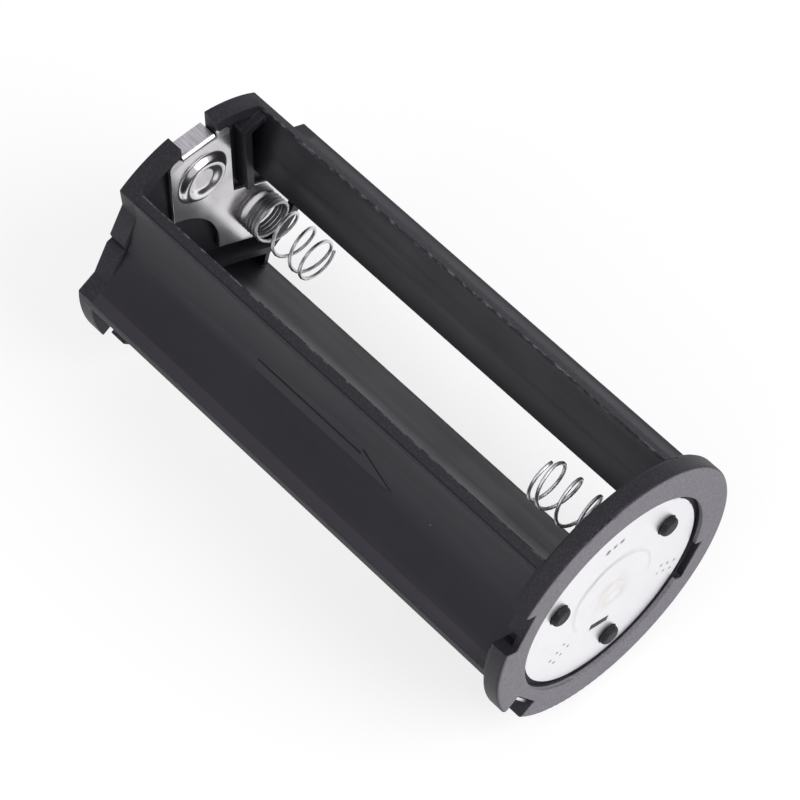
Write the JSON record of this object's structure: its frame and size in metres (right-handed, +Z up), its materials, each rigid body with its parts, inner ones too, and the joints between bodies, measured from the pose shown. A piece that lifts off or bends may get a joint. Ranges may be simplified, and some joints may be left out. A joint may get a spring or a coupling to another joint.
{
  "type": "cylindrical cell holder",
  "caption": "Open cylindrical frame that holds round cells side by side, wired in series between a disc at the flanged end and a button at the other end.",
  "frame": {"origin": "on the surface the holder lies on, below the middle of its length and below its axis", "axes": "+X along the holder's axis towards the flanged end, +Z up through the middle of bay A, +Y to the side of bay C"},
  "size_m": [0.0634, 0.032, 0.032],
  "materials": {
    "black_plastic": "black moulded plastic, satin walls with a fine spark-eroded grain on the edges",
    "plated_disc": "bright nickel plate with faint handling marks",
    "plated_sheet": "bright nickel plate, drawn lines along the bends",
    "spring_wire": "bright plated spring wire"
  },
  "bodies": {
    "root": {"frame": "black_plastic", "terminal_disc": "plated_disc", "near_link_plate": "plated_sheet", "far_link_plate": "plated_sheet", "far_terminal": "plated_sheet", "spring_a": "spring_wire", "spring_b": "spring_wire", "spring_c": "spring_wire"}
  },
  "joints": []
}
